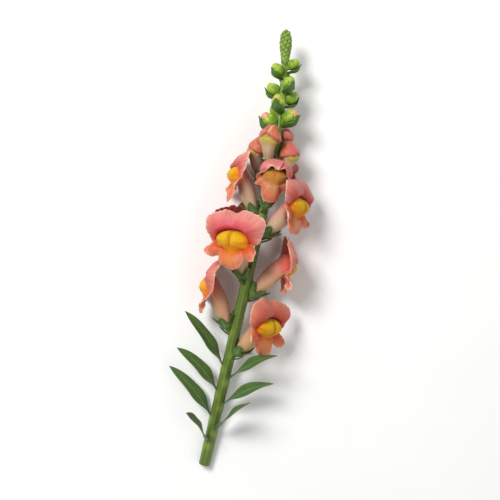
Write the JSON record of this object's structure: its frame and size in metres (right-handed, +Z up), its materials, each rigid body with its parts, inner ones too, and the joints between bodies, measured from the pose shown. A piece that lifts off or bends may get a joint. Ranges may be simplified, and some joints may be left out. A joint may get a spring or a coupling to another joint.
{
  "type": "snapdragon stem",
  "caption": "Cut snapdragon stem lying down: two-lipped flowers with yellow palates, coloured and green buds towards a pointed tip, and narrow leaves near the cut end.",
  "frame": {"origin": "on the surface the stem lies on, under the middle of its bounding box", "axes": "+Y along the stem from the cut end to the green tip, +Z up from the surface"},
  "size_m": [0.078, 0.3146, 0.0547],
  "materials": {
    "green": "satin",
    "petal": "matte",
    "palate": "matte",
    "young_palate": "matte",
    "bud": "matte"
  },
  "bodies": {
    "root": {"leafy_stem": "green", "flower_1_corolla": "petal", "flower_1_palate": "palate", "flower_2_corolla": "petal", "flower_2_palate": "palate", "flower_3_corolla": "petal", "flower_3_palate": "palate", "flower_4_corolla": "petal", "flower_4_palate": "palate", "flower_5_corolla": "petal", "flower_5_palate": "palate", "flower_6_corolla": "petal", "flower_6_palate": "palate", "flower_7_corolla": "petal", "flower_7_palate": "palate", "half_open_1_corolla": "petal", "half_open_1_palate": "young_palate", "half_open_2_corolla": "petal", "half_open_2_palate": "young_palate", "coloured_bud_1": "bud", "coloured_bud_2": "bud", "coloured_bud_3": "bud", "coloured_bud_4": "bud", "coloured_bud_5": "bud"}
  },
  "joints": []
}
